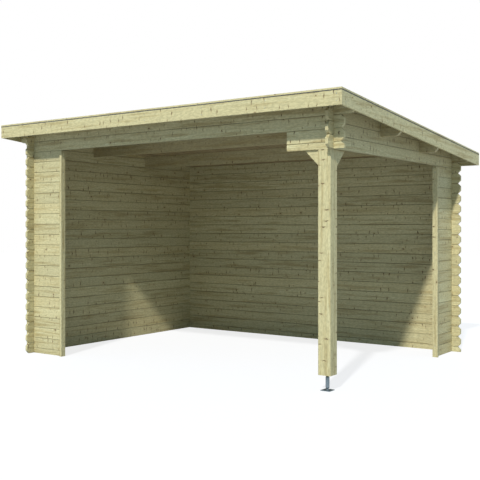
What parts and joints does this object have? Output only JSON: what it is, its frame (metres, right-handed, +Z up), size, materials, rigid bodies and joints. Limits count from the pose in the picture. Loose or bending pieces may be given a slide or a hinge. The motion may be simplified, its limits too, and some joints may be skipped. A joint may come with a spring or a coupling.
{
  "type": "patio cover",
  "caption": "Log-built garden shelter: whole left and back walls, open front and right side, one corner post on a steel foot, and a single-pitch boarded roof.",
  "frame": {"origin": "on the ground, under the middle of the roof's outline", "axes": "+X to the right along the open front, +Y to the back wall, +Z up"},
  "size_m": [4.216, 3.292, 2.514],
  "materials": {
    "log_timber": "pressure-treated softwood, pale yellow-green, fine planed, with knots",
    "post_timber": "pressure-treated softwood, planed, eased edges",
    "planed_timber": "pressure-treated softwood boards, planed",
    "roof_boards": "softwood matchboards",
    "zinc_steel": "zinc-plated steel, dull",
    "roofing_felt": "mineral-faced bitumen felt"
  },
  "bodies": {
    "root": {"left_wall": "log_timber", "left_gable_logs": "log_timber", "back_wall": "log_timber", "left_return_wall": "log_timber", "right_return_wall": "log_timber", "front_beam": "log_timber", "post_header": "log_timber", "side_beam": "log_timber", "purlin_front": "log_timber", "purlin_rear": "log_timber", "left_jamb": "post_timber", "right_jamb": "post_timber", "post": "post_timber", "front_brace": "post_timber", "side_brace": "post_timber", "foot_plate": "zinc_steel", "foot_rod": "zinc_steel", "foot_sleeve": "zinc_steel", "roof_deck": "roof_boards", "roof_felt": "roofing_felt", "fascia_front": "planed_timber", "fascia_back": "planed_timber", "fascia_left": "planed_timber", "fascia_right": "planed_timber", "trim_front": "planed_timber", "trim_back": "planed_timber", "trim_left": "planed_timber", "trim_right": "planed_timber"}
  },
  "joints": []
}
